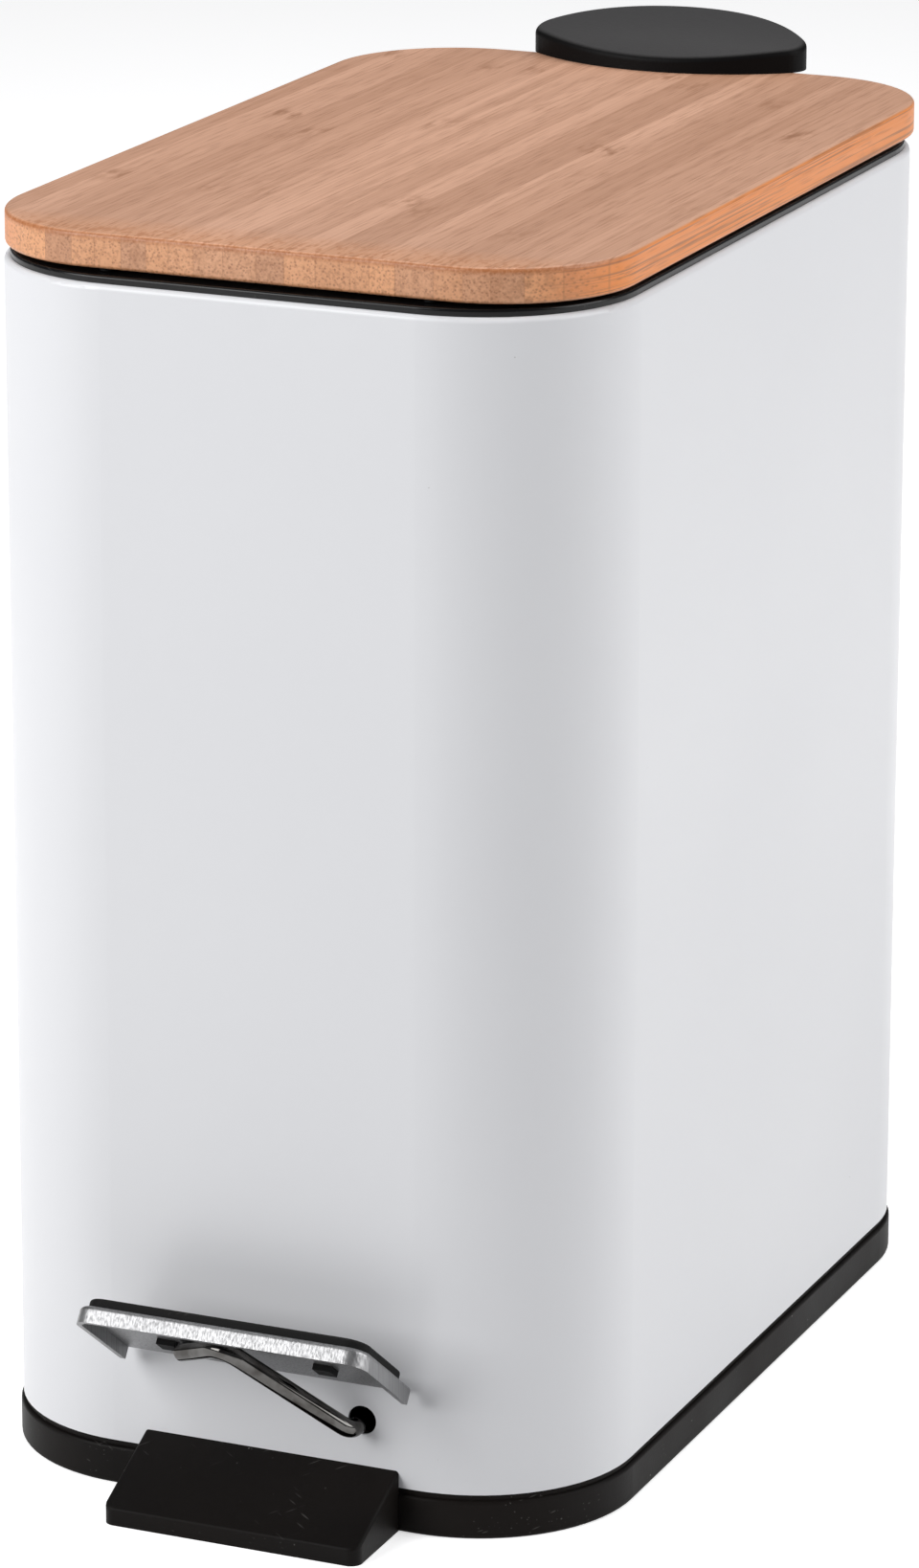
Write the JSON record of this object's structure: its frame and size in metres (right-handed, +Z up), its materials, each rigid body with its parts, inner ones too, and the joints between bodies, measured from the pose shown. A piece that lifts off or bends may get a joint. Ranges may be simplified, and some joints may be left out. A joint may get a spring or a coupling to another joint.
{
  "type": "pedal bin",
  "caption": "Slim rectangular pedal bin with a white steel sleeve, black base, bamboo lid and a lift-out bucket; pressing the pedal turns a wire crank that opens the lid.",
  "frame": {"origin": "on the floor, under the centre of the sleeve", "axes": "+X to the right seen from the pedal, +Y to the hinge, +Z up"},
  "size_m": [0.141, 0.273, 0.2816],
  "materials": {
    "white_paint": "satin",
    "black_plastic": "matte",
    "rim_plastic": "gloss",
    "bucket_plastic": "matte",
    "chrome": "polished",
    "rubber": "matte",
    "bamboo": "satin",
    "steel": "brushed",
    "link_plastic": "matte"
  },
  "bodies": {
    "bin": {"base": "black_plastic", "rod_keepers": "link_plastic", "keeper_screws": "steel", "body_shell": "white_paint", "top_rim": "rim_plastic", "inner_bucket": "bucket_plastic", "hinge_bracket": "steel", "hinge_pin": "steel", "pin_clip": "steel", "rear_spine": "black_plastic", "spine_screws": "steel", "bracket_screws": "steel"},
    "pedal": {"pedal_rod": "chrome", "pedal_plate": "chrome", "pedal_pad": "rubber"},
    "link": {"pull_link": "link_plastic"},
    "lid": {"lid_board": "bamboo", "lid_liner": "bucket_plastic", "liner_screws": "steel", "lid_bumpers": "rubber", "hinge_cap": "black_plastic", "cap_screws": "steel", "tail_pin": "steel"}
  },
  "joints": [
    {"name": "lid_hinge", "type": "hinge", "parent": "bin", "child": "lid", "pos_m": [0, 0.1215, 0.263], "axis": [-1, 0, 0], "range_deg": [0, 80]},
    {"name": "pedal_press", "type": "hinge", "parent": "bin", "child": "pedal", "pos_m": [0.0227, 0, 0.0231], "axis": [0, -1, 0], "range_deg": [0, 17.6]},
    {"name": "link_pull", "type": "slide", "parent": "bin", "child": "link", "axis": [0, 0, -1], "range_m": [0, 0.00979]}
  ],
  "couplings": [
    {"joint": "pedal_press", "follows": "lid_hinge", "ratio": 0.22},
    {"joint": "link_pull", "follows": "lid_hinge", "m_per_rad": 0.0070123}
  ]
}
